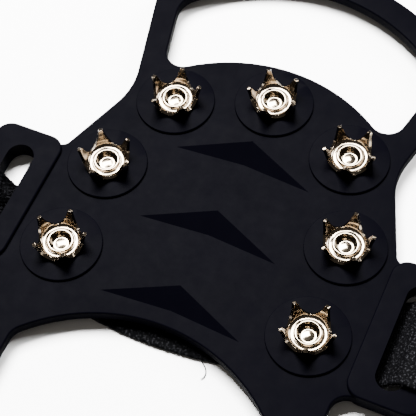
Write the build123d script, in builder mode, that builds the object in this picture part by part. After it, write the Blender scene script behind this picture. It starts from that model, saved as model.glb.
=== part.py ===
from build123d import *
from math import cos, radians, sin
import os

# One slip-on shoe ice cleat, lying with its studs up: +Z up, +Y towards the toe, millimetres.
# The origin is on the floor, under the middle of the strap where it crosses below the forefoot.

os.makedirs("parts", exist_ok=True)

# ---- Driving dimensions ---------------------------------------------------------------------
FORE_Y = 28.4          # centre of the forefoot's stud arch, in front of the origin

WEB_Z = 2.4            # shoe-side face of the moulded web, above the floor
WEB_T = 3.3            # thickness of the web
WEB_EDGE_R = 0.5       # rounding along the web's edges
BOSS_R = 11.0          # raised pad under each stud
BOSS_H = 0.7
BOSS_EDGE_R = 0.2

TAB_IN_X = 48.0        # side tabs: thick blocks that carry the strap slots
TAB_OUT_X = 68.0
TAB_FRONT_Y = 2.2
TAB_REAR_Y = -38.4
TAB_BOTTOM_Z = 1.5
TAB_TOP_RISE = 1.0
TAB_CORNER_R = 4.5
SLOT_X = 57.75
SLOT_WIDTH = 7.7
SLOT_LENGTH = 30.5
SLOT_Y = -18.7

TOE_HINGE_Y = 50.0     # lines on which the rubber flexes, from the centre of the stud arch
ARCH_HINGE_Y = -66.0
HEEL_HINGE_Y = -150.0
FLEX_GAP = 0.15

LUG_HALF_SPAN = 19.5   # chevron lugs: raised wedges that are highest at the apex
LUG_HEIGHT = 3.0
LUG_APEX = 8.0         # from the tips' line forward to the apex
LUG_NOTCH = 1.4        # from the tips' line forward to the inner corner
LUG_BATTER = 0.3       # how far the toe-side walls lean back
FORE_LUG_Y = (12.2, -11.4, -35.4)
HEEL_LUG_Y = (-105.0, -121.0)
HEEL_LUG_SHARE = 0.56  # a heel lug's size against a forefoot lug's

FORE_STUDS = [(-25.9, 25.9), (0, 35.4), (-34.6, 0), (25.9, 25.9),
              (-34.9, -27.3), (34.6, 0), (34.9, -27.3)]
HEEL_STUDS = [(-26, -95), (26, -95), (-24, -122), (24, -122), (0, -133)]
STUD_TURNS = [23, 52, 54, 63, 18, 18, 69, 10, 40, 61, 33, 5]   # each crown's own turn, degrees

WASHER_R = 8.0
WASHER_T = 0.8
RIVET_HEAD_R = 5.2
RIVET_HEAD_T = 0.8
RIVET_R = 3.2
RIVET_BORE_R = 2.65
RIVET_COLLAR_R = 3.75
RIVET_COLLAR_H = 0.6
RIVET_FIT = 0.05       # air round the rivet's barrel
CROWN_T = 1.0
CROWN_DISC_R = 6.2     # outer radius where the prongs turn up
CROWN_TIP_R = 7.6      # outer radius at the tips
CROWN_H = 6.1
PRONGS = 5
GULLET_R = 1.5
GULLET_START = 4.9     # the gullets are cut from this radius outwards
GULLET_RISE = 1.9      # centre of a gullet's round bottom, above the pad
GULLET_TOP = 3.9       # half a gullet's width above the tips
NOTCH_R = 1.5          # round notch in the disc's edge under each gullet

STRAP_T = 1.4
STRAP_W = 28.4
STRAP_CLEAR = 0.3      # air between the strap and the tab's outer bar
STRAP_RIGHT_Y = (-31.6, -6.4)    # where the strap lies in the right slot, from the arch's centre
STRAP_LEFT_Y = (-31.8, -14.0)    # it is bunched up in the left slot
STRAP_RISE_X = (50.0, 54.9, 60.4)    # under the tab, foot and head of the rise through a slot
STRAP_AXIS_X = 71.0    # each leg folds here, just outside the tab
LEG_LAND_X = 83.0      # where a leg comes down to the floor
LEFT_LEG_Y = -23.6     # middle of the left leg
LEG_WIDE_X = 96.0      # where the left leg is back at its full width
RIGHT_LEG_Y = -18.8    # middle of the right leg
RIGHT_LEG_END_X = 171.0
TAIL_START_X = 112.0
LOOP_PATCH_T = 1.2
LOOP_PATCH_X = (98.0, 168.0)
HOOK_PATCH_T = 1.0
HOOK_PATCH_X = (114.0, 158.0)
PATCH_GAP = 0.5
PATCH_MARGIN = 1.2     # webbing left bare at each side of a patch

RING_AXIS_X = -115.0
RING_ROD_R = 1.5
RING_FIT = 0.08
RING_REACH = 13.0      # between the middles of the ring's two long bars
RING_WIDE = 34.0       # between the middles of its two short bars
RING_CORNER_R = 2.6
RING_TILT = 6.5        # the ring droops until its far bar touches the floor, degrees
EYE_BACK_X = -90.0     # end of the layer that is folded back and sewn

THREAD_W = 0.8
THREAD_H = 0.25

# ---- Worked out from them -------------------------------------------------------------------
WEB_TOP = WEB_Z + WEB_T
WEB_MID = WEB_Z + WEB_T / 2
BOSS_TOP = WEB_TOP + BOSS_H
TAB_TOP = WEB_TOP + TAB_TOP_RISE
CROWN_TOP = BOSS_TOP + CROWN_T
TIP_Z = BOSS_TOP + CROWN_H
GULLET_Z = BOSS_TOP + GULLET_RISE
TAB_X = (TAB_IN_X + TAB_OUT_X) / 2
TAB_Y = (TAB_FRONT_Y + TAB_REAR_Y) / 2
FOLD_Z = TAB_TOP + STRAP_CLEAR + STRAP_T / 2
LEG_LOW_Z = STRAP_T / 2
EYE_R = RING_ROD_R + RING_FIT + STRAP_T
RING_Z = EYE_R
PATCH_HALF = STRAP_W / 2 - PATCH_MARGIN
SEAM_HALF = PATCH_HALF - 1
LOOP_TOP_Z = STRAP_T + LOOP_PATCH_T
HOOK_Z = LOOP_TOP_Z + PATCH_GAP
TAIL_Z = HOOK_Z + HOOK_PATCH_T
BIG = 400              # longer than the whole cleat


def level(z):
    """Horizontal plane at height z, with its origin at the centre of the stud arch."""
    return Plane(origin=(0, FORE_Y, z), x_dir=(1, 0, 0), z_dir=(0, 0, 1))


def upright(y=0.0):
    """Plane of the strap's side view: local x is the object's X and local y its Z."""
    return Plane(origin=(0, FORE_Y + y, 0), x_dir=(1, 0, 0), z_dir=(0, -1, 0))


def side_view(x=0.0):
    """Plane of the web's side view: local x is the object's Y and local y its Z."""
    return Plane(origin=(x, FORE_Y, 0), x_dir=(0, 1, 0), z_dir=(1, 0, 0))


def save(part, name):
    part.label = name
    export_step(part, f"parts/{name}.step")


# ---- The moulded web, divided where it flexes ------------------------------------------------
# Corners of the plan and their radii, on the right of the middle, from the centre of the arch.
OUTLINE_CORNERS = [(47.75, 62.3, 10), (38.97, 25.8, 21), (48.38, 1.2, 2.5), (46.7, -38.4, 4.5),
                   (46.7, -66, 30), (40.8, -90, 30), (37.6, -136, 21), (40.9, -157.1, 9)]
TOE_CORNERS = [(33.9, 33.56, 5), (39.76, 59.5, 8)]
ARCH_CORNERS = [(35.5, -54.4, 5), (33, -85.5, 5)]
HEEL_CORNERS = [(30.2, -137.5, 4.5), (33.6, -153.7, 7)]


def round_corners(sketch, corners):
    """Rounds each listed corner, on both sides of the middle."""
    for x, y, radius in corners:
        for side in (-1, 1):
            corner = sketch.vertices().sort_by_distance((side * x, y, 0))[0]
            fillet(corner, radius=radius)


def outline():
    """Outer edge of the whole moulding."""
    with BuildSketch() as plan:
        with BuildLine():
            ThreePointArc((0, 86), (29.4, 78.3), (47.75, 62.3))
            Polyline((47.75, 62.3), (38.97, 25.8), (48.38, 1.2), (58, 1.2), (58, -38.4),
                     (46.7, -38.4), (46.7, -66), (40.8, -90), (37.6, -136), (40.9, -157.1))
            ThreePointArc((40.9, -157.1), (24.0, -173.57), (0, -180))
            mirror(about=Plane.YZ)
        make_face()
        round_corners(plan, OUTLINE_CORNERS)
    return plan.sketch


def toe_opening():
    with BuildSketch() as plan:
        with BuildLine():
            ThreePointArc((-33.9, 33.56), (0, 47.7), (33.9, 33.56))
            Line((33.9, 33.56), (39.76, 59.5))
            ThreePointArc((39.76, 59.5), (0, 78), (-39.76, 59.5))
            Line((-39.76, 59.5), (-33.9, 33.56))
        make_face()
        round_corners(plan, TOE_CORNERS)
    return plan.sketch


def arch_opening():
    with BuildSketch() as plan:
        with BuildLine():
            ThreePointArc((-35.5, -54.4), (0, -38.6), (35.5, -54.4))
            Polyline((35.5, -54.4), (35.5, -66), (33, -85.5))
            ThreePointArc((33, -85.5), (0, -80), (-33, -85.5))
            Polyline((-33, -85.5), (-35.5, -66), (-35.5, -54.4))
        make_face()
        round_corners(plan, ARCH_CORNERS)
    return plan.sketch


def heel_opening():
    with BuildSketch() as plan:
        with BuildLine():
            ThreePointArc((-30.2, -137.5), (0, -146.5), (30.2, -137.5))
            Line((30.2, -137.5), (33.6, -153.7))
            ThreePointArc((33.6, -153.7), (0, -172), (-33.6, -153.7))
            Line((-33.6, -153.7), (-30.2, -137.5))
        make_face()
        round_corners(plan, HEEL_CORNERS)
    return plan.sketch


with BuildPart() as web:
    with BuildSketch(level(WEB_Z)):
        add(outline())
        add(toe_opening(), mode=Mode.SUBTRACT)
        add(arch_opening(), mode=Mode.SUBTRACT)
        add(heel_opening(), mode=Mode.SUBTRACT)
    extrude(amount=WEB_T)
    rims = web.edges().group_by(Axis.Z)
    fillet(rims[0] + rims[-1], radius=WEB_EDGE_R)


def web_between(y_low, y_high, round_at=None):
    """The web from y_low to y_high, with a full round about the flex line at round_at."""
    with BuildPart() as piece:
        add(web.part)
        with BuildSketch(side_view()):
            with Locations(((y_low + y_high) / 2, WEB_MID)):
                Rectangle(y_high - y_low, 2 * WEB_T)
            if round_at is not None:
                with Locations((round_at, WEB_MID)):
                    Circle(WEB_T / 2)
        extrude(amount=BIG, both=True, mode=Mode.INTERSECT)
    return piece.part


def lug(tip_y, share):
    """One chevron lug on the web's top: two sloping facets that meet in a ridge."""
    with BuildPart() as wedge:
        for side in (-1, 1):
            with BuildSketch(side_view()) as ridge:
                with BuildLine():
                    Polyline((tip_y + LUG_NOTCH * share, WEB_TOP),
                             (tip_y + LUG_APEX * share, WEB_TOP),
                             (tip_y + LUG_APEX * share - LUG_BATTER, WEB_TOP + LUG_HEIGHT * share),
                             close=True)
                make_face()
            tip = Vertex(side * LUG_HALF_SPAN * share, FORE_Y + tip_y, WEB_TOP)
            loft(sections=[ridge.sketch.faces()[0], tip], ruled=True)
    return wedge.part


def seated(plate, studs, lug_rows, share):
    """A plate with its raised pads, washer pockets, rivet holes and chevron lugs."""
    with BuildPart() as piece:
        add(plate)
        with BuildSketch(level(WEB_TOP)):
            with Locations(*studs):
                Circle(BOSS_R)
        extrude(amount=BOSS_H)
        circles = piece.edges().filter_by(GeomType.CIRCLE)
        pad_edges = circles.filter_by(lambda edge: abs(edge.radius - BOSS_R) < 0.01)
        fillet(pad_edges.group_by(Axis.Z)[-1], radius=BOSS_EDGE_R)
        with BuildSketch(level(WEB_Z)):
            with Locations(*studs):
                Circle(WASHER_R + RIVET_FIT)
        extrude(amount=WASHER_T, mode=Mode.SUBTRACT)
        with BuildSketch(level(WEB_Z)):
            with Locations(*studs):
                Circle(RIVET_R + RIVET_FIT)
        extrude(amount=WEB_T + BOSS_H, mode=Mode.SUBTRACT)
        for row_y in lug_rows:
            add(lug(row_y, share))
    return piece.part


def tabs():
    """The two side tabs with their rounded edges and strap slots."""
    with BuildPart() as pair:
        with BuildSketch(level(TAB_BOTTOM_Z)):
            with Locations((-TAB_X, TAB_Y), (TAB_X, TAB_Y)):
                RectangleRounded(TAB_OUT_X - TAB_IN_X, TAB_FRONT_Y - TAB_REAR_Y, TAB_CORNER_R)
        extrude(amount=TAB_TOP - TAB_BOTTOM_Z)
        rims = pair.edges().group_by(Axis.Z)
        fillet(rims[0] + rims[-1], radius=WEB_EDGE_R)
    return pair.part


with BuildPart() as forefoot_plate:
    add(web_between(ARCH_HINGE_Y + WEB_T / 2 + FLEX_GAP, TOE_HINGE_Y - WEB_T / 2 - FLEX_GAP))
    add(tabs())
    with BuildSketch(level(TAB_BOTTOM_Z)):
        with Locations((-SLOT_X, SLOT_Y), (SLOT_X, SLOT_Y)):
            SlotOverall(SLOT_LENGTH, SLOT_WIDTH, rotation=90)
    extrude(amount=TAB_TOP - TAB_BOTTOM_Z, mode=Mode.SUBTRACT)
save(seated(forefoot_plate.part, FORE_STUDS, FORE_LUG_Y, 1.0), "forefoot_plate")
save(web_between(TOE_HINGE_Y, BIG, round_at=TOE_HINGE_Y), "toe_loop")

heel_web = web_between(HEEL_HINGE_Y + WEB_T / 2 + FLEX_GAP, ARCH_HINGE_Y, round_at=ARCH_HINGE_Y)
save(seated(heel_web, HEEL_STUDS, HEEL_LUG_Y, HEEL_LUG_SHARE), "heel_plate")
save(web_between(-BIG, HEEL_HINGE_Y, round_at=HEEL_HINGE_Y), "heel_loop")


# ---- Studs: a five-pronged crown, a tubular rivet and a backing washer, twelve times ----------
with BuildPart() as washer:
    with BuildSketch(Plane.XY.offset(WEB_Z)):
        Circle(WASHER_R)
        Circle(RIVET_R + RIVET_FIT, mode=Mode.SUBTRACT)
    extrude(amount=WASHER_T)

# Rivet: flat head under the washer, barrel with a blind bore, collar rolled over the crown.
with BuildPart() as rivet:
    with BuildSketch(Plane.XZ):
        with BuildLine():
            Polyline((0, WEB_Z - RIVET_HEAD_T), (RIVET_HEAD_R - 0.4, WEB_Z - RIVET_HEAD_T),
                     (RIVET_HEAD_R, WEB_Z - 0.4), (RIVET_HEAD_R, WEB_Z), (RIVET_R, WEB_Z),
                     (RIVET_R, CROWN_TOP), (RIVET_COLLAR_R, CROWN_TOP))
            ThreePointArc((RIVET_COLLAR_R, CROWN_TOP),
                          ((RIVET_COLLAR_R + RIVET_BORE_R) / 2, CROWN_TOP + RIVET_COLLAR_H),
                          (RIVET_BORE_R, CROWN_TOP))
            Polyline((RIVET_BORE_R, CROWN_TOP), (RIVET_BORE_R, WEB_Z + 1.0), (0, WEB_Z + 1.8),
                     (0, WEB_Z - RIVET_HEAD_T))
        make_face()
    revolve(axis=Axis.Z)

# Crown: a disc whose rim turns up into prongs, with a round gullet between each two.
with BuildPart() as crown:
    with BuildSketch(Plane.XZ):
        with BuildLine():
            Polyline((RIVET_R + RIVET_FIT, BOSS_TOP), (CROWN_DISC_R, BOSS_TOP),
                     (CROWN_TIP_R, TIP_Z), (CROWN_TIP_R - CROWN_T, TIP_Z),
                     (CROWN_DISC_R - CROWN_T, CROWN_TOP), (RIVET_R + RIVET_FIT, CROWN_TOP),
                     close=True)
        make_face()
    revolve(axis=Axis.Z)
    for prong in range(PRONGS):
        angle = radians(360 / PRONGS * (prong + 0.5))
        outward = Vector(cos(angle), sin(angle), 0)
        sideways = Vector(-sin(angle), cos(angle), 0)
        with BuildSketch(Plane(origin=outward * GULLET_START, x_dir=sideways, z_dir=outward)):
            with BuildLine():
                Polyline((-GULLET_R, GULLET_Z), (-GULLET_TOP, TIP_Z + 0.5),
                         (GULLET_TOP, TIP_Z + 0.5), (GULLET_R, GULLET_Z))
                ThreePointArc((GULLET_R, GULLET_Z), (0, GULLET_Z - GULLET_R),
                              (-GULLET_R, GULLET_Z))
            make_face()
        extrude(amount=CROWN_TIP_R, mode=Mode.SUBTRACT)
    with BuildSketch(Plane.XY.offset(BOSS_TOP)):
        with PolarLocations(CROWN_DISC_R + 0.4, PRONGS, start_angle=180 / PRONGS):
            Circle(NOTCH_R)
    extrude(amount=CROWN_H, mode=Mode.SUBTRACT)

for number, ((x, y), turn) in enumerate(zip(FORE_STUDS + HEEL_STUDS, STUD_TURNS), start=1):
    seat = Location((x, FORE_Y + y, 0), (0, 0, turn))
    save(washer.part.moved(seat), f"washer_{number:02d}")
    save(rivet.part.moved(seat), f"rivet_{number:02d}")
    save(crown.part.moved(seat), f"crown_{number:02d}")


# ---- Strap: one webbing, divided where it folds -----------------------------------------------
def band(centreline, y_low, y_high, axis_end=None):
    """Webbing that follows a centreline of the side view, from y_low to y_high across."""
    with BuildPart() as piece:
        with BuildSketch(upright(y_high)):
            trace(centreline, STRAP_T)
            if axis_end is not None:
                with Locations(axis_end):
                    Circle(STRAP_T / 2)
        extrude(amount=y_high - y_low)
    return piece.part


def rise_over_tab(side):
    """Side view of the strap from under the plate, up through a slot and over the tab's outer bar."""
    under_x, foot_x, head_x = STRAP_RISE_X
    end_x = STRAP_AXIS_X - STRAP_T / 2 - FLEX_GAP
    with BuildLine() as path:
        FilletPolyline((side * under_x, LEG_LOW_Z), (side * foot_x, LEG_LOW_Z),
                       (side * head_x, FOLD_Z), (side * end_x, FOLD_Z), radius=2.2)
    return path.line


with BuildPart() as strap_under_run:
    with BuildSketch(level(0)):
        with BuildLine():
            Spline((-51, -31.8), (-30, -39.6), (-8, -42.6), (14, -41.2), (51, -31.6))
            Line((51, -31.6), (51, -6.4))
            Spline((51, -6.4), (14, -11.6), (-8, -14.2), (-30, -14.6), (-51, -14.0))
            Line((-51, -14.0), (-51, -31.8))
        make_face()
    extrude(amount=STRAP_T)
    add(band(rise_over_tab(1), *STRAP_RIGHT_Y))
    add(band(rise_over_tab(-1), *STRAP_LEFT_Y))
save(strap_under_run.part, "strap_under_run")

with BuildLine() as right_leg_path:
    FilletPolyline((STRAP_AXIS_X, FOLD_Z), (LEG_LAND_X, LEG_LOW_Z), (RIGHT_LEG_END_X, LEG_LOW_Z),
                   radius=6)
save(band(right_leg_path.line, RIGHT_LEG_Y - STRAP_W / 2, RIGHT_LEG_Y + STRAP_W / 2,
          (STRAP_AXIS_X, FOLD_Z)), "strap_leg_right")

# Left leg: it widens from the bunched stretch, goes round the ring's bar and is sewn to itself.
LEFT_LOW_Y = LEFT_LEG_Y - STRAP_W / 2
LEFT_HIGH_Y = LEFT_LEG_Y + STRAP_W / 2
with BuildLine() as left_leg_path:
    FilletPolyline((-STRAP_AXIS_X, FOLD_Z), (-LEG_LAND_X, LEG_LOW_Z), (RING_AXIS_X, LEG_LOW_Z),
                   radius=6)
with BuildPart() as strap_leg_left:
    add(band(left_leg_path.line, LEFT_LOW_Y, LEFT_HIGH_Y, (-STRAP_AXIS_X, FOLD_Z)))
    with BuildSketch(upright(LEFT_HIGH_Y)):
        with BuildLine():
            Polyline((RING_AXIS_X, LEG_LOW_Z), (RING_AXIS_X, RING_Z + EYE_R),
                     (RING_AXIS_X + 9, 2 * STRAP_T), (EYE_BACK_X, 2 * STRAP_T),
                     (EYE_BACK_X, LEG_LOW_Z), close=True)
        make_face()
        with Locations((RING_AXIS_X, RING_Z)):
            Circle(EYE_R)
            Circle(RING_ROD_R + RING_FIT, mode=Mode.SUBTRACT)
    extrude(amount=STRAP_W)
    with BuildSketch(level(0)):
        with BuildLine():
            Polyline((-STRAP_AXIS_X + 1, STRAP_LEFT_Y[0]), (-LEG_WIDE_X, LEFT_LOW_Y),
                     (RING_AXIS_X - EYE_R, LEFT_LOW_Y), (RING_AXIS_X - EYE_R, LEFT_HIGH_Y),
                     (-LEG_WIDE_X, LEFT_HIGH_Y), (-STRAP_AXIS_X + 1, STRAP_LEFT_Y[1]), close=True)
        make_face()
    extrude(amount=2 * FOLD_Z, mode=Mode.INTERSECT)
save(strap_leg_left.part, "strap_leg_left")

# Ring: a rectangular loop of round bar, drooping until its far side is on the floor.
with BuildSketch() as ring_plan:
    with Locations((-RING_REACH / 2, 0)):
        RectangleRounded(RING_REACH, RING_WIDE, RING_CORNER_R)
ring_path = ring_plan.sketch.faces()[0].outer_wire()
with BuildPart() as flat_ring:
    with BuildSketch(Plane(origin=ring_path @ 0, z_dir=ring_path % 0)):
        Circle(RING_ROD_R)
    sweep(path=ring_path)
drooped = Location((RING_AXIS_X, FORE_Y + LEFT_LEG_Y, RING_Z), (0, -RING_TILT, 0))
save(flat_ring.part.moved(drooped), "strap_ring")


# ---- Closure on the right: loop patch on the leg, hook patch under the folded tail ------------
def layer(x_low, x_high, z_low, thickness, half_width, name):
    """One flat layer of the closure, centred across the right leg."""
    with BuildPart() as piece:
        with BuildSketch(level(z_low)):
            with Locations(((x_low + x_high) / 2, RIGHT_LEG_Y)):
                Rectangle(x_high - x_low, 2 * half_width)
        extrude(amount=thickness)
    save(piece.part, name)


def seam(x_low, x_high, y_middle, z_low, half_width, name, crossed=False):
    """A row of stitches round a rectangle, crossed from corner to corner on a box stitch."""
    length = x_high - x_low
    with BuildPart() as thread:
        with BuildSketch(level(z_low)):
            with Locations(((x_low + x_high) / 2, y_middle)):
                Rectangle(length, 2 * half_width)
                Rectangle(length - 2 * THREAD_W, 2 * (half_width - THREAD_W), mode=Mode.SUBTRACT)
                if crossed:
                    diagonal = Vector(length - THREAD_W, 2 * half_width - THREAD_W, 0)
                    slant = diagonal.get_angle(Vector(1, 0, 0))
                    for turn in (-slant, slant):
                        Rectangle(diagonal.length, THREAD_W, rotation=turn)
        extrude(amount=THREAD_H)
    save(thread.part, name)


layer(*LOOP_PATCH_X, STRAP_T, LOOP_PATCH_T, PATCH_HALF, "loop_patch")
layer(*HOOK_PATCH_X, HOOK_Z, HOOK_PATCH_T, PATCH_HALF, "hook_patch")
layer(TAIL_START_X, RIGHT_LEG_END_X, TAIL_Z, STRAP_T, STRAP_W / 2, "strap_tail")

seam(LOOP_PATCH_X[0] + 1, LOOP_PATCH_X[1] - 1, RIGHT_LEG_Y, LOOP_TOP_Z, SEAM_HALF,
     "loop_patch_stitching")
seam(HOOK_PATCH_X[0] + 1, HOOK_PATCH_X[1] - 1, RIGHT_LEG_Y, TAIL_Z + STRAP_T, SEAM_HALF,
     "hook_patch_stitching")
seam(RING_AXIS_X + 10, EYE_BACK_X - 1.5, LEFT_LEG_Y, 2 * STRAP_T, SEAM_HALF,
     "eye_stitching", crossed=True)
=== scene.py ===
import math
import random

import bmesh
import bpy
import numpy as np
from mathutils import Matrix, Vector


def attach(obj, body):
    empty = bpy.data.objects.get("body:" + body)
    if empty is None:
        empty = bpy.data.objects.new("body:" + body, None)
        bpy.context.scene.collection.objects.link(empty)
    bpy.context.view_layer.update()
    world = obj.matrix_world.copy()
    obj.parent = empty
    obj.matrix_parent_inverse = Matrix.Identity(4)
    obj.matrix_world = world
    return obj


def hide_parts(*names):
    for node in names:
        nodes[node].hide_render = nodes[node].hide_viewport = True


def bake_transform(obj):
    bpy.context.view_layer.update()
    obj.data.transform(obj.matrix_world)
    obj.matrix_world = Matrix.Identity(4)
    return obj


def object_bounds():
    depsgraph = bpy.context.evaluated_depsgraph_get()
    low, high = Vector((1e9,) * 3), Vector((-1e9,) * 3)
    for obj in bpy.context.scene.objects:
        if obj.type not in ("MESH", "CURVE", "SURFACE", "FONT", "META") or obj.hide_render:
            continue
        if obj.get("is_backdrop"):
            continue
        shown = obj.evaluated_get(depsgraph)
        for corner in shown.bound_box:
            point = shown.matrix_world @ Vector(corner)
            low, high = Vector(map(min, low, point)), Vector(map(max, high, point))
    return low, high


# Looks of the ice cleat. Shapes are worked out in millimetres, in the row frame, and stored in metres.
MM = 0.001
FORE_Y = 28.4          # centre of the forefoot's stud arch
SEED = 11

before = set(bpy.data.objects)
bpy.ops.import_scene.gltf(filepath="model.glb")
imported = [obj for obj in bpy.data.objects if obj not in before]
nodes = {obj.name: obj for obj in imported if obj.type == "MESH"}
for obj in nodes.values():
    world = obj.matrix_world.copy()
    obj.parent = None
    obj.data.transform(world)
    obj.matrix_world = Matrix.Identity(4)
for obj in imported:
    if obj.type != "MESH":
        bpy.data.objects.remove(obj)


def note_size(stage_name, sizes):
    low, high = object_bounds()
    sizes[stage_name] = [list(low), list(high)]


sizes = {}
note_size("loaded", sizes)


# ---- Materials --------------------------------------------------------------------------------
class Paint:
    """A Principled material built from procedural nodes."""

    def __init__(self, name, **sockets):
        self.material = bpy.data.materials.new(name)
        self.material.use_nodes = True
        self.tree = self.material.node_tree
        self.shader = self.tree.nodes["Principled BSDF"]
        for socket, value in sockets.items():
            self.shader.inputs[socket.replace("_", " ")].default_value = value

    def node(self, kind, **inputs):
        made = self.tree.nodes.new(kind)
        for key, value in inputs.items():
            if hasattr(value, "is_output"):
                self.tree.links.new(value, made.inputs[key])
            else:
                made.inputs[key].default_value = value
        return made

    def coords(self, kind="Object"):
        return self.tree.nodes.new("ShaderNodeTexCoord").outputs[kind]

    def noise(self, scale, detail=4.0, roughness=0.6, vector=None):
        made = self.node("ShaderNodeTexNoise", Scale=scale, Detail=detail, Roughness=roughness)
        self.tree.links.new(vector or self.coords(), made.inputs["Vector"])
        return made.outputs["Fac"]

    def mix(self, factor, first, second):
        made = self.tree.nodes.new("ShaderNodeMix")
        made.data_type = "RGBA"
        for index, value in ((0, factor), (6, first), (7, second)):
            if hasattr(value, "is_output"):
                self.tree.links.new(value, made.inputs[index])
            else:
                made.inputs[index].default_value = value
        return made.outputs[2]

    def span(self, value, from_low, from_high, to_low, to_high):
        made = self.node("ShaderNodeMapRange", Value=value)
        for key, number in (("From Min", from_low), ("From Max", from_high),
                            ("To Min", to_low), ("To Max", to_high)):
            made.inputs[key].default_value = number
        return made.outputs["Result"]

    def math(self, operation, first, second=0.0):
        made = self.tree.nodes.new("ShaderNodeMath")
        made.operation = operation
        for index, value in ((0, first), (1, second)):
            if hasattr(value, "is_output"):
                self.tree.links.new(value, made.inputs[index])
            else:
                made.inputs[index].default_value = value
        return made.outputs[0]

    def bump(self, *layers):
        """Bumps over each other: each layer is (height, strength, distance in millimetres)."""
        normal = None
        for height, strength, distance in layers:
            made = self.node("ShaderNodeBump", Height=height, Strength=strength)
            made.inputs["Distance"].default_value = distance * MM
            if normal is not None:
                self.tree.links.new(normal, made.inputs["Normal"])
            normal = made.outputs["Normal"]
        self.tree.links.new(normal, self.shader.inputs["Normal"])

    def feed(self, socket, value):
        self.tree.links.new(value, self.shader.inputs[socket])


def grey(level, blue=1.0):
    return (level, level, level * blue, 1.0)


def rubber_paint():
    paint = Paint("moulded_rubber", Roughness=0.62, IOR=1.5)
    cloudy = paint.noise(60, 3)
    fine = paint.noise(2600, 3, 0.7)
    specks = paint.noise(5200, 2, 0.5)
    tone = paint.mix(paint.span(cloudy, 0.3, 0.7, 0, 1), (0.00035, 0.00033, 0.00075, 1),
                     (0.00045, 0.00041, 0.0009, 1))
    dusted = paint.mix(paint.span(specks, 0.68, 0.8, 0, 0.5), tone, (0.0008, 0.0008, 0.001, 1))
    paint.feed("Base Color", dusted)
    paint.feed("Roughness", paint.span(paint.noise(260, 4), 0.3, 0.7, 0.40, 0.48))
    paint.shader.inputs["Specular IOR Level"].default_value = 0.0022
    paint.bump((fine, 0.2, 0.05))
    return paint.material


def nickel_paint(name, tint, rough_low, rough_high):
    paint = Paint(name, Metallic=1.0)
    mottled = paint.noise(420, 5, 0.65)
    warm = paint.mix(paint.span(mottled, 0.35, 0.65, 0, 1), tint,
                     (tint[0] * 0.9, tint[1] * 0.84, tint[2] * 0.72, 1))
    paint.feed("Base Color", warm)
    paint.feed("Roughness", paint.span(paint.noise(1500, 4), 0.3, 0.7, rough_low, rough_high))
    paint.bump((mottled, 0.06, 0.06), (paint.noise(3200, 3), 0.08, 0.015))
    return paint.material


def webbing_paint():
    paint = Paint("black_webbing", Roughness=0.75, IOR=1.45)
    uv = paint.coords("UV")
    stretch = paint.node("ShaderNodeMapping", Vector=uv, Scale=(1.0, 2.4, 1.0)).outputs[0]
    fibres = paint.noise(2.2, 5, 0.75, stretch)
    flecks = paint.noise(1.6, 2, 0.4, uv)
    ground = paint.mix(paint.span(fibres, 0.38, 0.68, 0, 1), (0.00015, 0.00015, 0.0002, 1),
                       (0.0012, 0.0012, 0.0015, 1))
    pale = paint.math("MULTIPLY", paint.span(flecks, 0.54, 0.64, 0, 1),
                      paint.span(fibres, 0.46, 0.6, 0, 1))
    paint.feed("Base Color", paint.mix(pale, ground, (0.016, 0.016, 0.018, 1)))
    paint.shader.inputs["Specular IOR Level"].default_value = 0.012
    paint.bump((fibres, 0.6, 0.15))
    return paint.material


def cloth_paint(name, level, grain, depth):
    paint = Paint(name, Roughness=0.9, IOR=1.4)
    fuzz = paint.noise(grain, 6, 0.75)
    paint.feed("Base Color", paint.mix(paint.span(fuzz, 0.35, 0.7, 0, 1), grey(level * 0.45),
                                       grey(level * 1.6, 1.05)))
    paint.shader.inputs["Specular IOR Level"].default_value = 0.15
    paint.bump((fuzz, 0.7, depth))
    return paint.material


def plastic_paint():
    paint = Paint("satin_plastic", Roughness=0.38, IOR=1.5)
    paint.feed("Base Color", paint.mix(paint.noise(300, 4), grey(0.010), grey(0.018, 1.05)))
    paint.feed("Roughness", paint.span(paint.noise(900, 4), 0.3, 0.7, 0.32, 0.48))
    paint.bump((paint.noise(1800, 3), 0.12, 0.05))
    return paint.material


RUBBER = rubber_paint()
CROWN = nickel_paint("crown_nickel", (0.155, 0.128, 0.10, 1), 0.10, 0.2)
RIVET = nickel_paint("rivet_nickel", (0.155, 0.13, 0.10, 1), 0.08, 0.16)
ZINC = nickel_paint("washer_zinc", (0.60, 0.60, 0.60, 1), 0.3, 0.45)
WEBBING = webbing_paint()
LOOP_TAPE = cloth_paint("loop_tape", 0.0045, 2600, 0.3)
HOOK_TAPE = cloth_paint("hook_tape", 0.0055, 1700, 0.25)
THREAD = cloth_paint("sewing_thread", 0.006, 3400, 0.08)
PLASTIC = plastic_paint()


def dress(obj, material):
    obj.data.materials.clear()
    obj.data.materials.append(material)
    for polygon in obj.data.polygons:
        polygon.material_index = 0


def smooth(obj, angle):
    obj.data.shade_smooth()
    obj.data.set_sharp_from_angle(angle=math.radians(angle))


def new_mesh(name, vertices, faces, material, slot_name, body=None):
    """A mesh object from vertices in millimetres."""
    mesh = bpy.data.meshes.new(name)
    mesh.from_pydata([[c * MM for c in v] for v in vertices], [], faces)
    mesh.validate()
    obj = bpy.data.objects.new(name, mesh)
    bpy.context.scene.collection.objects.link(obj)
    dress(obj, material)
    mesh.shade_smooth()
    if body:
        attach(obj, body)
    return obj


# ---- Rubber: the moulding drawn whole across its flex lines ------------------------------------
WEB_LOW, WEB_HIGH, EDGE_R = 2.4, 5.7, 0.5
STATION = 0.6          # length of one step along a strand that flexes
STRANDS_FROM = 26.0    # the strands of the web lie outside this x
CUT_WELD, LINK_WELD = 2e-6, 4e-6    # metres, within which vertices are one
LEVEL = 0.9999         # a face whose normal is this upright is flat
FACET_TILT, FACET_AREA = 0.2, 5.0   # a lug's facet is at least this upright and this large, square mm
RUBBER_CREASE = 11     # degrees between faces, above which the edge between them is drawn sharp


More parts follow.
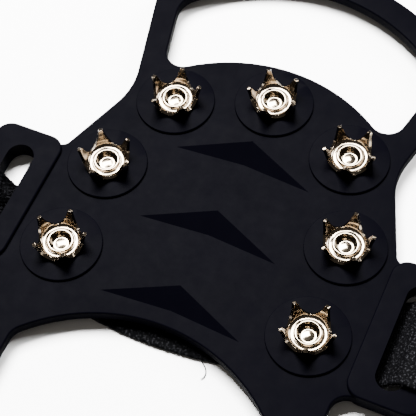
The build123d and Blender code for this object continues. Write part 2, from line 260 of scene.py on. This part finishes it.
def section(x_in, x_out):
    """Points round one strand of the web, in (x, z), with its rounded edges."""
    points = []
    for cx, cz, start in ((x_out - EDGE_R, WEB_HIGH - EDGE_R, 0),
                          (x_in + EDGE_R, WEB_HIGH - EDGE_R, 90),
                          (x_in + EDGE_R, WEB_LOW + EDGE_R, 180),
                          (x_out - EDGE_R, WEB_LOW + EDGE_R, 270)):
        for step in range(7):
            turn = math.radians(start + 15 * step)
            points.append((cx + EDGE_R * math.cos(turn), cz + EDGE_R * math.sin(turn)))
    return points


def strands(y_low, y_high, x_in, x_out):
    """Both strands of the web between two lines across it, with a station about every STATION."""
    count = int((y_high - y_low) / STATION) + 1
    vertices, faces = [], []
    for side in (-1, 1):
        for y in np.linspace(y_low, y_high, count + 1):
            ring = section(x_in(y), x_out(y))
            vertices += [(side * x, y + FORE_Y, z) for x, z in ring]
        size = len(ring)
        base = len(vertices) - size * (count + 1)
        for i in range(count):
            for j in range(size):
                a = base + i * size + j
                b = base + i * size + (j + 1) % size
                quad = (a, b, b + size, a + size)
                faces.append(quad if side < 0 else quad[::-1])
    return vertices, faces


def cut_copy(node, trims, stations=()):
    """A copy of a CAD node's mesh as a bmesh, its strands trimmed at y lines. (y, 1) drops what is in
    front of the line, (y, -1) what is behind it, and only faces outside STRANDS_FROM in x are dropped,
    so the plate between the strands stays."""
    work = bmesh.new()
    work.from_mesh(nodes[node].data)
    bmesh.ops.remove_doubles(work, verts=work.verts, dist=CUT_WELD)
    for y in [y for y, side in trims] + list(stations):
        bmesh.ops.bisect_plane(work, geom=work.verts[:] + work.edges[:] + work.faces[:], dist=1e-7,
                               plane_co=(0, (y + FORE_Y) * MM, 0), plane_no=(0, 1, 0))
    for y, side in trims:
        beyond = []
        for face in work.faces:
            middle = face.calc_center_median() / MM
            if (middle.y - FORE_Y - y) * side > 0 and abs(middle.x) > STRANDS_FROM:
                beyond.append(face)
        bmesh.ops.delete(work, geom=beyond, context="FACES")
    return work


def moulded(name, node, trims, link=None, stations=()):
    """One visible length of the moulding: a trimmed copy of a CAD node, with its flexing strands."""
    work = cut_copy(node, trims, stations)
    if link:
        vertices, faces = link
        made = [work.verts.new([c * MM for c in v]) for v in vertices]
        for face in faces:
            work.faces.new([made[i] for i in face])
        bmesh.ops.remove_doubles(work, verts=work.verts, dist=LINK_WELD)
    bmesh.ops.recalc_face_normals(work, faces=work.faces)
    for face in work.faces:
        upright = abs(face.normal.z)
        facet = upright > FACET_TILT and face.calc_area() > FACET_AREA * MM * MM
        face.smooth = not (upright > LEVEL or facet)
    mesh = bpy.data.meshes.new(name)
    work.to_mesh(mesh)
    work.free()
    if mesh.has_custom_normals:
        mesh.attributes.remove(mesh.attributes["custom_normal"])
    obj = bpy.data.objects.new(name, mesh)
    bpy.context.scene.collection.objects.link(obj)
    obj.data.materials.append(RUBBER)
    mesh.set_sharp_from_angle(angle=math.radians(RUBBER_CREASE))
    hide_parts(node)
    return obj


def line(x0, y0, x1, y1):
    return lambda y: x0 + (x1 - x0) * (y - y0) / (y1 - y0)


def arch_outer(y):
    """Outer edge of an arch strand: straight, a 30 mm round, straight again."""
    start = -66 + 30 * math.tan(math.atan(5.9 / 24) / 2)
    if y > start:
        return 46.7
    if y > -69.5:
        return 16.7 + math.sqrt(900 - (y - start) ** 2)
    return line(46.7, -66, 40.8, -90)(y)


def arch_inner(y):
    return 35.5 if y > -66 else line(35.5, -66, 33, -85.5)(y)


TOE_CUT, TOE_JOIN = 44.0, 52.0
ARCH_CUT, ARCH_JOIN = -60.4, -72.0
HEEL_CUT, HEEL_JOIN = -143.5, -150.6
fore_rubber = moulded("forefoot_rubber", "forefoot_plate", [(TOE_CUT, 1), (ARCH_CUT, -1)])
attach(fore_rubber, "forefoot")
toe_rubber = moulded("toe_loop_rubber", "toe_loop", [(TOE_JOIN, -1)],
                     strands(TOE_CUT, TOE_JOIN, line(39.76, 59.5, 33.9, 33.56),
                             line(47.75, 62.3, 38.97, 25.8)),
                     np.arange(52.6, 56, STATION))
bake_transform(toe_rubber)
heel_rubber = moulded("heel_rubber", "heel_plate", [(ARCH_JOIN, 1), (HEEL_CUT, -1)],
                      strands(ARCH_JOIN, ARCH_CUT, arch_inner, arch_outer))
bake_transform(heel_rubber)
heel_loop_rubber = moulded("heel_loop_rubber", "heel_loop", [(HEEL_JOIN, 1)],
                           strands(HEEL_JOIN, HEEL_CUT, line(30.2, -137.5, 33.6, -153.7),
                                   line(37.6, -136, 40.9, -157.1)),
                           np.arange(-156, -151, STATION))
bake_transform(heel_loop_rubber)


# ---- Studs ------------------------------------------------------------------------------------
FORE_STUDS = [(-25.9, 25.9), (0, 35.4), (-34.6, 0), (25.9, 25.9), (-34.9, -27.3), (34.6, 0),
              (34.9, -27.3)]
HEEL_STUDS = [(-26, -95), (26, -95), (-24, -122), (24, -122), (0, -133)]
STUD_TURNS = [23, 52, 54, 63, 18, 18, 69, 10, 40, 61, 33, 5]
BOSS_TOP = 6.4
SHEET_T = 0.85         # the crown's sheet metal
EDGE_SOFTENING = 0.16
CROWN_CREASE, WASHER_CREASE, RING_CREASE = 50, 30, 40    # degrees
# Inner face of the stamped cup in (radius, height above the pad), from the rivet out to a tip.
CUP = [(3.2, 1.02), (3.8, 0.98), (4.25, 0.86), (4.7, 0.92), (5.05, 1.12), (5.33, 1.5), (5.55, 2.1),
       (5.75, 2.9), (6.0, 3.9), (6.3, 5.0), (6.62, 6.1)]
# How much of that line is left at each angle from a prong's middle: (degrees, share).
PRONG = [(0, 1.0), (2.2, 1.0), (4.2, 0.99), (5.0, 0.95), (6.0, 0.885), (7.4, 0.81), (9.2, 0.72),
         (11.2, 0.63), (13.6, 0.545), (16.4, 0.47), (19.6, 0.405), (23.4, 0.355), (27.6, 0.325),
         (31.8, 0.31), (36.0, 0.305)]


def lathe(profile, steps=72):
    """A closed solid of revolution from points in (radius, height), axis to axis."""
    vertices, faces, rows = [], [], []
    for r, z in profile:
        if r < 1e-6:
            rows.append([len(vertices)] * steps)
            vertices.append((0, 0, z))
        else:
            rows.append(list(range(len(vertices), len(vertices) + steps)))
            turns = [2 * math.pi * k / steps for k in range(steps)]
            vertices += [(r * math.cos(turn), r * math.sin(turn), z) for turn in turns]
    for low, high in zip(rows, rows[1:]):
        for k in range(steps):
            n = (k + 1) % steps
            face = [low[k], low[n], high[n], high[k]]
            face = [v for i, v in enumerate(face) if v not in face[:i]]
            if len(face) > 2:
                faces.append(tuple(face))
    return vertices, faces


def cup_mesh():
    """The crown's sheet metal: a dished disc whose rim runs up into five tapering prongs."""
    length = [0.0]
    for (r0, z0), (r1, z1) in zip(CUP, CUP[1:]):
        length.append(length[-1] + math.hypot(r1 - r0, z1 - z0))
    half = [angle for angle, share in PRONG]
    angles, shares = [], []
    for prong in range(5):
        for sign, span in ((-1, range(len(half) - 1, 0, -1)), (1, range(len(half) - 1))):
            for i in span:
                angles.append(72 * prong + sign * half[i])
                shares.append(PRONG[i][1])
    rows = 22
    vertices, faces = [], []
    for angle, share in zip(angles, shares):
        turn = math.radians(angle)
        for i in range(rows + 1):
            at = length[-1] * share * (i / rows)
            r = np.interp(at, length, [p[0] for p in CUP])
            z = np.interp(at, length, [p[1] for p in CUP])
            vertices.append((r * math.cos(turn), r * math.sin(turn), z + BOSS_TOP))
    size = rows + 1
    for k in range(len(angles)):
        n = (k + 1) % len(angles)
        for i in range(rows):
            faces.append((k * size + i, k * size + i + 1, n * size + i + 1, n * size + i))
    return vertices, faces


def polish(obj, width, angle):
    """Softens a hard edge, so that it catches the light as pressed metal does."""
    bevel = obj.modifiers.new("soft_edges", "BEVEL")
    bevel.width = width * MM
    bevel.segments = 2
    bevel.limit_method = "ANGLE"
    bevel.angle_limit = math.radians(angle)
    bevel.harden_normals = True


RIVET_LINE = ([(0, 1.6), (4.7, 1.6), (5.1, 1.75), (5.2, 2.0), (5.2, 2.38), (3.19, 2.4), (3.19, 7.34)]
              + [(3.2 + 0.56 * math.cos(math.radians(t)), 7.5 + 0.56 * math.sin(math.radians(t)))
                 for t in range(-20, 201, 20)]
              + [(2.62, 7.2), (2.5, 6.75), (2.36, 6.35), (2.1, 6.15), (1.5, 6.25), (0.8, 6.42),
                 (0, 6.46)])
crown_mesh = new_mesh("crown_pattern", *cup_mesh(), CROWN, "crown").data
rivet_mesh = new_mesh("rivet_pattern", *lathe(RIVET_LINE), RIVET, "rivet").data
for pattern in ("crown_pattern", "rivet_pattern"):
    bpy.data.objects.remove(bpy.data.objects[pattern])
for number, ((x, y), turn) in enumerate(zip(FORE_STUDS + HEEL_STUDS, STUD_TURNS), start=1):
    body = "forefoot" if number <= len(FORE_STUDS) else "heel"
    for kind, mesh in (("crown", crown_mesh), ("rivet", rivet_mesh)):
        stud = bpy.data.objects.new(f"{kind}_metal_{number:02d}", mesh)
        bpy.context.scene.collection.objects.link(stud)
        stud.matrix_world = (Matrix.Translation((x * MM, (y + FORE_Y) * MM, 0))
                             @ Matrix.Rotation(math.radians(turn), 4, "Z"))
        if kind == "crown":
            sheet_metal = stud.modifiers.new("sheet", "SOLIDIFY")
            sheet_metal.thickness = SHEET_T * MM
            sheet_metal.offset = -1
            polish(stud, EDGE_SOFTENING, CROWN_CREASE)
        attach(stud, body)
        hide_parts(f"{kind}_{number:02d}")
    washer = nodes[f"washer_{number:02d}"]
    dress(washer, ZINC)
    smooth(washer, WASHER_CREASE)
dress(nodes["strap_ring"], PLASTIC)
smooth(nodes["strap_ring"], RING_CREASE)
dress(nodes["loop_patch"], LOOP_TAPE)
dress(nodes["hook_patch"], HOOK_TAPE)


# ---- Webbing ----------------------------------------------------------------------------------
STRAP_T = 1.4
YARN = 0.46            # spacing of the weave's grid
WEAVE_DEPTH = 0.16     # how far a yarn stands above or below the middle of its face
LEFT_MID, RIGHT_MID = -23.6, -18.8
HALF = 14.2            # half of the webbing's width
SLOT_X = 51.0          # the strap is as narrow as its slot outside this x
LEFT_SLOT, RIGHT_SLOT = (-31.8, -14.0), (-31.6, -6.4)    # its two sides there, in y
OVER_TAB, ON_FLOOR = 7.7, 0.7       # heights of its middle
TAIL_TOP = 4.8
BEND_R, SLOT_BEND_R = 6, 2.2


def rounded(points, radius, step=0.12):
    """Points every so often along a line through the given (x, z) corners, rounded off."""
    points = [Vector(p) for p in points]
    dense = [points[0]]
    for before, corner, after in zip(points, points[1:], points[2:]):
        u, v = (before - corner).normalized(), (after - corner).normalized()
        turn = math.pi - u.angle(v)
        if turn < 1e-4:
            continue
        reach = min(radius * math.tan(turn / 2), (before - corner).length / 2,
                    (after - corner).length / 2)
        start, end = corner + u * reach, corner + v * reach
        for k in range(9):
            t = k / 8
            dense.append(start * (1 - t) ** 2 + corner * 2 * t * (1 - t) + end * t * t)
    dense.append(points[-1])
    length = np.concatenate([[0], np.cumsum([(b - a).length for a, b in zip(dense, dense[1:])])])
    at = np.linspace(0, length[-1], max(2, int(length[-1] / step)))
    return np.stack([np.interp(at, length, [p.x for p in dense]),
                     np.interp(at, length, [p.y for p in dense])], 1)


def along(path, step):
    """The same line with even steps: positions, and the arc length at each."""
    length = np.concatenate([[0], np.cumsum(np.linalg.norm(np.diff(path, axis=0), axis=1))])
    count = max(2, round(length[-1] / step))
    at = np.linspace(0, length[-1], count + 1)
    return np.stack([np.interp(at, length, path[:, 0]), np.interp(at, length, path[:, 1])], 1), at


def webbing(name, path, edges, ripple=None, body=None, closed_ends=(False, False)):
    """Woven webbing along a line in (x, z). edges(x) gives its two sides in y, and ripple(x, u, z) how
    far a crease pushes it out of line, u being the share of its width. closed_ends says which ends
    are cut ends, closed by faces."""
    line_points, at = along(path, YARN)
    tangent = np.gradient(line_points, axis=0)
    tangent /= np.linalg.norm(tangent, axis=1)[:, None]
    normal = np.stack([-tangent[:, 1], tangent[:, 0]], 1)
    across = round(2 * HALF / YARN)
    rng = np.random.default_rng(SEED)
    vertices, faces, uvs = [], [], []
    ring = 2 * (across + 1)
    for i, ((x, z), n, s) in enumerate(zip(line_points, normal, at)):
        low, high = edges(x)
        for face_side in (1, -1):
            order = range(across + 1) if face_side > 0 else range(across, -1, -1)
            for j in order:
                u = j / across
                rim = min(j, across - j)
                thick = STRAP_T / 2 * (0.55 if rim == 0 else 0.86 if rim == 1 else 0.93)
                weave = WEAVE_DEPTH if ((j // 2) + (i // 2)) % 2 == 0 else -WEAVE_DEPTH
                weave *= 0.4 if rim == 0 else 1.0
                weave += rng.normal(0, 0.018)
                off = face_side * (thick + weave * 0.8)
                off += ripple(x, u, z) if ripple else 0.0
                y = low + (high - low) * u + (rng.normal(0, 0.06) if rim == 0 else 0)
                vertices.append((x + n[0] * off, y + FORE_Y, z + n[1] * off))
                uvs.append((u * 2 * HALF, s))
    for i in range(len(line_points) - 1):
        for j in range(ring):
            a, b = i * ring + j, i * ring + (j + 1) % ring
            faces.append((a, b, b + ring, a + ring))
    for end, closed in zip((0, len(line_points) - 1), closed_ends):
        if closed:
            for j in range(across):
                a, b = end * ring + j, end * ring + j + 1
                c, d = end * ring + ring - 2 - j, end * ring + ring - 1 - j
                quad = (a, d, c, b)
                faces.append(quad if end == 0 else quad[::-1])
    obj = new_mesh(name, vertices, faces, WEBBING, "webbing", body)
    layer = obj.data.uv_layers.new(name="weave")
    for loop in obj.data.loops:
        layer.data[loop.index].uv = uvs[loop.vertex_index]
    work = bmesh.new()
    work.from_mesh(obj.data)
    bmesh.ops.recalc_face_normals(work, faces=work.faces)
    work.to_mesh(obj.data)
    work.free()
    return obj


X_SPLIT = 66.0         # where the legs start


def eased(share):
    share = min(1.0, max(0.0, share))
    return share * share * (3 - 2 * share)


CURVE_X = [-SLOT_X, -30, -8, 14, SLOT_X]
rear_curve = np.polyfit(CURVE_X, [LEFT_SLOT[0], -39.6, -42.6, -41.2, RIGHT_SLOT[0]], 4)
front_curve = np.polyfit(CURVE_X, [LEFT_SLOT[1], -14.6, -14.2, -11.6, RIGHT_SLOT[1]], 4)


def mid_edges(x):
    if x < -SLOT_X:
        return LEFT_SLOT
    if x > SLOT_X:
        return RIGHT_SLOT
    return np.polyval(rear_curve, x), np.polyval(front_curve, x)


def crease(x, u, z):
    """The left end is bunched into half of its slot: soft creases along it, pushed up where it lies
    flat."""
    near = math.exp(-((x + 60) / 9.0) ** 2)
    wave = 0.5 + 0.5 * math.cos(2 * math.pi * (2.6 * u + 0.12))
    return near * (1.25 * wave if z > 6 or z < 1 else 1.0 * (wave - 0.4))


mid_path = rounded([(-X_SPLIT, OVER_TAB), (-60.4, OVER_TAB), (-54.9, ON_FLOOR), (54.9, ON_FLOOR),
                    (60.4, OVER_TAB), (X_SPLIT, OVER_TAB)], SLOT_BEND_R)
strap_mid = webbing("strap_through_slots", mid_path, mid_edges,
                    lambda x, u, z: crease(x, u, z) if x < -SLOT_X and z > 1 else 0.0, "forefoot")
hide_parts("strap_under_run")


def left_edges(x):
    share = eased((-x - 70) / 26)
    rear, front = LEFT_SLOT
    return rear + (LEFT_MID - HALF - rear) * share, front + (LEFT_MID + HALF - front) * share


def round_the_bar():
    """Up round the ring's bar and back along the top of the leg."""
    turns = np.radians(np.linspace(-90, -270, 25))
    return [(-115 + 2.28 * math.cos(t), 2.98 + 2.28 * math.sin(t)) for t in turns]


left_path = np.concatenate([rounded([(-X_SPLIT, OVER_TAB), (-71, OVER_TAB), (-83, ON_FLOOR),
                                     (-115, ON_FLOOR)], BEND_R),
                            np.array(round_the_bar())[1:],
                            rounded([(-115, 5.26), (-106, 2.15), (-90, 2.12)], BEND_R)[1:]])
strap_left = webbing("strap_short_leg", left_path, left_edges,
                     lambda x, u, z: crease(x, u, z) if x > -90 and z > 1 else 0.0,
                     closed_ends=(False, True))
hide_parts("strap_leg_left")
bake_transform(strap_left)


def right_edges(x):
    share = eased((x - X_SPLIT) / 12)
    rear, front = RIGHT_SLOT
    return (rear * (1 - share) + (RIGHT_MID - HALF) * share,
            front * (1 - share) + (RIGHT_MID + HALF) * share)


right_path = rounded([(X_SPLIT, OVER_TAB), (71, OVER_TAB), (83, ON_FLOOR), (168, ON_FLOOR)], BEND_R)
strap_right = webbing("strap_long_leg", right_path, right_edges)
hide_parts("strap_leg_right")
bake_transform(strap_right)

fold_turns = np.radians(np.linspace(-90, 90, 25))
tail_path = np.concatenate([np.array([(168, ON_FLOOR), (170.5, ON_FLOOR)]),
                            np.array([(171 + 2.05 * math.cos(t), 2.75 + 2.05 * math.sin(t))
                                      for t in fold_turns]),
                            np.array([(170, TAIL_TOP), (112, TAIL_TOP)])])
strap_tail = webbing("strap_folded_tail", tail_path, lambda x: (RIGHT_MID - HALF, RIGHT_MID + HALF),
                     closed_ends=(False, True))
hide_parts("strap_tail")
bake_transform(strap_tail)


# ---- Stitching and the loose yarn ---------------------------------------------------------------
THREAD_R, YARN_R = 0.26, 0.14
STITCH_DIP, STITCH_RISE, SWAY = -0.2, 0.14, 0.08
PATCH_SEAM = 11.6      # a seam's distance from the middle of the strap


def tube(points, radius, sides=8):
    """A round thread through points in millimetres, with rounded ends."""
    points = [Vector(p) for p in points]
    vertices, faces = [], []
    last = len(points) - 1
    for i, p in enumerate(points):
        ahead = (points[min(i + 1, last)] - points[max(i - 1, 0)]).normalized()
        side = ahead.cross(Vector((0, 0, 1)))
        side = side.normalized() if side.length > 1e-3 else Vector((1, 0, 0))
        up = side.cross(ahead)
        size = radius * (0.45 if i in (0, last) else 1.0)
        for k in range(sides):
            turn = 2 * math.pi * k / sides
            vertices.append(p + (side * math.cos(turn) + up * math.sin(turn)) * size)
    for i in range(last):
        for k in range(sides):
            a, b = i * sides + k, i * sides + (k + 1) % sides
            faces.append((a, b, b + sides, a + sides))
    faces.append(tuple(range(sides))[::-1])
    faces.append(tuple(last * sides + k for k in range(sides)))
    return vertices, faces


def seam(name, replaced, body, corners, z, pitch=2.6):
    """Lock stitches along lines between corners, each one a short arched thread."""
    rng = random.Random(SEED)
    vertices, faces = [], []
    for (x0, y0), (x1, y1) in corners:
        start, end = Vector((x0, y0 + FORE_Y, z)), Vector((x1, y1 + FORE_Y, z))
        count = max(1, round((end - start).length / pitch))
        for k in range(count):
            a = start.lerp(end, (k + 0.1) / count)
            b = start.lerp(end, (k + 0.9) / count)
            sway = Vector((rng.uniform(-SWAY, SWAY), rng.uniform(-SWAY, SWAY), 0))
            dip, rise = Vector((0, 0, STITCH_DIP)), Vector((0, 0, STITCH_RISE))
            points = [a + dip, a.lerp(b, 0.2) + rise + sway, a.lerp(b, 0.8) + rise + sway, b + dip]
            more, loops = tube(points, THREAD_R, 6)
            faces += [tuple(i + len(vertices) for i in loop) for loop in loops]
            vertices += more
    obj = new_mesh(name, vertices, faces, THREAD, "thread", body)
    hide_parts(replaced)


def rectangle(x0, x1, y0, y1):
    return [((x0, y0), (x1, y0)), ((x1, y0), (x1, y1)), ((x1, y1), (x0, y1)), ((x0, y1), (x0, y0))]


seam("loop_patch_stitches", "loop_patch_stitching", "right_leg",
     rectangle(99.4, 166.6, RIGHT_MID - PATCH_SEAM, RIGHT_MID + PATCH_SEAM), 2.62)
seam("hook_patch_stitches", "hook_patch_stitching", "tail",
     rectangle(115.4, 156.6, RIGHT_MID - PATCH_SEAM, RIGHT_MID + PATCH_SEAM), 5.56)
seam("eye_box_stitches", "eye_stitching", "left_leg",
     rectangle(-104.6, -91.9, LEFT_MID - PATCH_SEAM, LEFT_MID + PATCH_SEAM)
     + [((-104.6, LEFT_MID - PATCH_SEAM), (-91.9, LEFT_MID + PATCH_SEAM)),
        ((-104.6, LEFT_MID + PATCH_SEAM), (-91.9, LEFT_MID - PATCH_SEAM))], 2.9)

LOOSE_YARN = [(10.6, -40.9, 0.9), (11.5, -41.6, 0.6), (12.5, -42.3, 0.4), (13.2, -42.9, 0.35),
              (13.6, -43.5, 0.35), (13.9, -44.1, 0.3), (14.0, -44.7, 0.3), (14.0, -45.3, 0.3),
              (13.8, -45.8, 0.3), (13.4, -46.3, 0.3)]
new_mesh("loose_yarn", *tube([(x, y + FORE_Y, z) for x, y, z in LOOSE_YARN], YARN_R), THREAD, "webbing",
         "forefoot")


# ---- Floor, light and camera --------------------------------------------------------------------
bpy.ops.mesh.primitive_plane_add(size=6)
floor = bpy.context.object
floor.name = "floor"
floor_paint = Paint("white_floor", Roughness=0.9)
floor_paint.shader.inputs["Base Color"].default_value = (0.93, 0.93, 0.93, 1)
floor_paint.shader.inputs["Specular IOR Level"].default_value = 0.1
dress(floor, floor_paint.material)
floor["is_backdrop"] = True

TURN, RISE_ANGLE, ROLL = math.radians(28.12), math.radians(59.15), math.radians(-5.12)
LOOK_AT = Vector((-3.55, 26.0, 5.7))
CAMERA_DISTANCE = 356.5
back = Vector((math.sin(TURN) * math.cos(RISE_ANGLE), -math.cos(TURN) * math.cos(RISE_ANGLE),
               math.sin(RISE_ANGLE)))
right = (-back).cross(Vector((0, 0, 1))).normalized()
up = right.cross(-back)
right, up = (right * math.cos(ROLL) + up * math.sin(ROLL), up * math.cos(ROLL) - right * math.sin(ROLL))
camera_data = bpy.data.cameras.new("camera")
camera_data.lens = 115.7
camera_data.sensor_width = 36
camera_data.clip_start = 0.01
camera = bpy.data.objects.new("camera", camera_data)
bpy.context.scene.collection.objects.link(camera)
where = (LOOK_AT + back * CAMERA_DISTANCE) * MM
camera.matrix_world = Matrix((
    (right.x, up.x, back.x, where.x), (right.y, up.y, back.y, where.y),
    (right.z, up.z, back.z, where.z), (0, 0, 0, 1)))
bpy.context.scene.camera = camera


def softbox(name, place, size, power, aim=(0, 0.02, 0)):
    data = bpy.data.lights.new(name, "AREA")
    data.shape = "RECTANGLE"
    data.size, data.size_y = size
    data.energy = power
    light = bpy.data.objects.new(name, data)
    bpy.context.scene.collection.objects.link(light)
    light.location = place
    light.rotation_euler = (Vector(aim) - Vector(place)).to_track_quat("-Z", "Y").to_euler()


away = Vector((-math.sin(TURN), math.cos(TURN), 0))
aside = Vector((math.cos(TURN), math.sin(TURN), 0))
softbox("key_softbox", away * 0.68 - aside * 0.12 + Vector((0, 0, 1.1)), (0.8, 0.55), 230)
softbox("side_softbox", aside * 1.1 + away * 0.5 + Vector((0, 0, 0.8)), (0.4, 0.6), 40)
world = bpy.data.worlds.new("studio")
bpy.context.scene.world = world
world.use_nodes = True
world.node_tree.nodes["Background"].inputs["Color"].default_value = (1.0, 0.93, 0.84, 1)
world.node_tree.nodes["Background"].inputs["Strength"].default_value = 0.14

note_size("finished", sizes)
